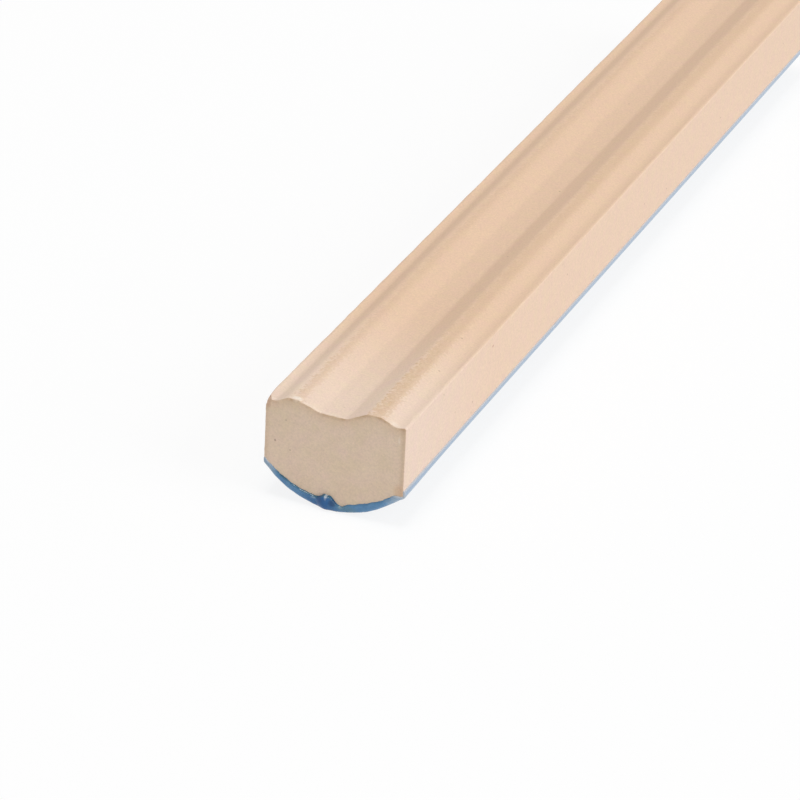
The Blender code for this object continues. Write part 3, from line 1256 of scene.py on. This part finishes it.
    def build(self, glaze: Material) -> Piece:
        """Model the coat and dress it.

        Args:
            glaze: its finish.

        Returns:
            The finished piece.
        """
        cells = {"x_subdivisions": self.columns, "y_subdivisions": self.rows}
        grid = bpy.ops.mesh.primitive_grid_add
        coat = add_primitive("glaze_coat", grid, size=1, location=(0.5, 0.5, 0), **cells)
        depths = coat.data.attributes.new("glaze_depth", "FLOAT", "POINT")
        edges = coat.data.attributes.new("glaze_edge", "FLOAT", "POINT")
        for vertex in coat.data.vertices:
            column = round(vertex.co.x * self.columns)
            row = round(vertex.co.y * self.rows)
            vertex.co, depth, edge = self.place(column, row)
            depths.data[vertex.index].value = depth
            edges.data[vertex.index].value = edge / MM
        select_only(coat)
        bpy.ops.object.mode_set(mode="EDIT")
        bpy.ops.mesh.select_all(action="SELECT")
        bpy.ops.mesh.remove_doubles(threshold=self.merge)
        bpy.ops.mesh.normals_make_consistent(inside=False)
        bpy.ops.object.mode_set(mode="OBJECT")
        apply_modifier(coat, "SOLIDIFY", {"thickness": self.wall, "offset": -1.0})
        coat.data.materials.append(glaze)
        bpy.ops.object.shade_smooth_by_angle(angle=math.radians(self.soft))
        return coat


@dataclass(frozen=True)
class Softbox:
    """A square lamp: its name, the direction to it, its side in metres and its power."""

    name: str
    direction: Triple
    side: float
    watts: float


@dataclass
class Studio:
    """A white sheet of paper, two soft lamps, and the camera."""

    floor_size: float = 6.0
    paper: str = "#FAFAFA"
    paper_roughness: float = 0.9
    paper_glow: float = 0.86  # share of plain white in what the camera sees of the floor
    fill: float = 0.41  # light from all around
    lamps: tuple[Softbox, ...] = (
        Softbox("side_softbox", (0.85, -0.05, 0.52), 1.2, 15.2),
        Softbox("top_softbox", (0.0, -0.1, 1.0), 0.6, 15.4),
    )
    lamp_distance: float = 2.0
    azimuth: float = 21.975  # degrees, of the camera round the bar
    elevation: float = 28.525
    roll: float = 2.894
    lens: float = 192.3  # mm
    sensor: float = 36.0  # mm
    clip_start: float = 0.01
    distance: float = 0.5108
    aim: Triple = (7.40 * MM, -73.92 * MM, 16.26 * MM)

    def floor(self) -> None:
        """Lay the paper under the bar."""
        plane = bpy.ops.mesh.primitive_plane_add
        floor = add_primitive("paper_floor", plane, size=self.floor_size, location=(0, 0, CAD_BOX[0].z))
        paper = Surface("white_seamless_paper")
        paper.shader.inputs["Base Color"].default_value = linear(self.paper)
        paper.shader.inputs["Roughness"].default_value = self.paper_roughness
        paper.shader.inputs["Specular IOR Level"].default_value = 0.0
        glow = paper.add("Emission", {"Color": WHITE, "Strength": 1.0})
        share = paper.add("Math", {"operation": "MULTIPLY", 1: self.paper_glow}, {0: paper.seen_directly()})
        mixed = paper.add("MixShader", {}, {0: share, 1: paper.shader, 2: glow})
        paper.link(mixed, paper.tree.nodes["Material Output"].inputs["Surface"])
        floor.data.materials.append(paper.material)

    def light(self) -> None:
        """Add the soft lamps and the white surroundings."""
        for softbox in self.lamps:
            towards = Vector(softbox.direction).normalized()
            bpy.ops.object.light_add(type="AREA", location=towards * self.lamp_distance)
            lamp = bpy.context.object
            lamp.name = softbox.name
            lamp.rotation_euler = towards.to_track_quat("Z", "Y").to_euler()
            lamp.data.size = softbox.side
            lamp.data.energy = softbox.watts
        world = bpy.data.worlds.new("white_surroundings")
        bpy.context.scene.world = world
        world.use_nodes = True
        nodes = Nodes(world.node_tree)
        levels = {"To Min": self.fill, "To Max": 1.0}
        strength = nodes.add("MapRange", levels, {"Value": nodes.seen_directly()})
        background = world.node_tree.nodes["Background"]
        background.inputs["Color"].default_value = WHITE
        nodes.link(strength, background.inputs["Strength"])

    def camera(self) -> None:
        """Set the camera at the photograph's angle."""
        turn = math.radians(self.azimuth)
        tilt = math.radians(self.elevation)
        back = Vector((math.sin(turn) * math.cos(tilt), -math.cos(turn) * math.cos(tilt), math.sin(tilt)))
        level = Vector((math.cos(turn), math.sin(turn), 0))
        right = Matrix.Rotation(math.radians(-self.roll), 3, -back) @ level
        up = back.cross(right)
        bpy.ops.object.camera_add(location=Vector(self.aim) + back * self.distance)
        camera = bpy.context.object
        camera.name = "camera"
        camera.rotation_euler = Matrix((right, up, back)).transposed().to_euler()
        camera.data.lens = self.lens
        camera.data.sensor_width = self.sensor
        camera.data.clip_start = self.clip_start
        bpy.context.scene.camera = camera


def finish_piece(piece: Piece, slot: str) -> None:
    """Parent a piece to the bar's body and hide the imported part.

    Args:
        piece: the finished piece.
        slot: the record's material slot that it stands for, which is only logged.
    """
    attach(piece, BODY)
    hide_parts(NODE)
    LOG.info("%s: %d faces, slot %s", piece.name, len(piece.data.polygons), slot)


def main() -> None:
    """Build the studio and the tile."""
    logging.basicConfig(level=logging.INFO)
    bpy.context.scene.view_settings.view_transform = "Standard"
    low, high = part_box(NODE)
    section = BarSection(half_coat=high.x)
    near = low.y + RUN_BEAD
    far = high.y - section.coat

    studio = Studio()
    studio.camera()
    studio.light()
    studio.floor()

    clay = ClayBar(section, near, far).build(Bisque().material(section, near), BrokenClay().material())
    finish_piece(clay, "bisque")

    near_lap = LapLine(
        height=1.23 * MM,
        swells=swells_in_mm(
            (-1.0, 0.7, 0.62), (-0.2, 0.62, 0.5), (1.25, -0.37, 0.6), (-2.5, 0.13, 2.2), (5.2, 0.17, 3.2)
        ),
        bare_corner=7.75 * MM,
    )
    pools = swells_in_mm((-5.4, 0.04, 1.6), (-3.0, 0.05, 2.2), (-0.6, 0.16, 1.6), (1.1, 0.05, 0.9))
    laps = {End.NEAR: near_lap, End.FAR: LapLine(wander_spacing=3.1 * MM)}
    coat = GlazeCoat(section, near, far, laps, pools=pools).build(CobaltGlaze().material())
    finish_piece(coat, "blue_glaze")


if __name__ == "__main__":
    main()
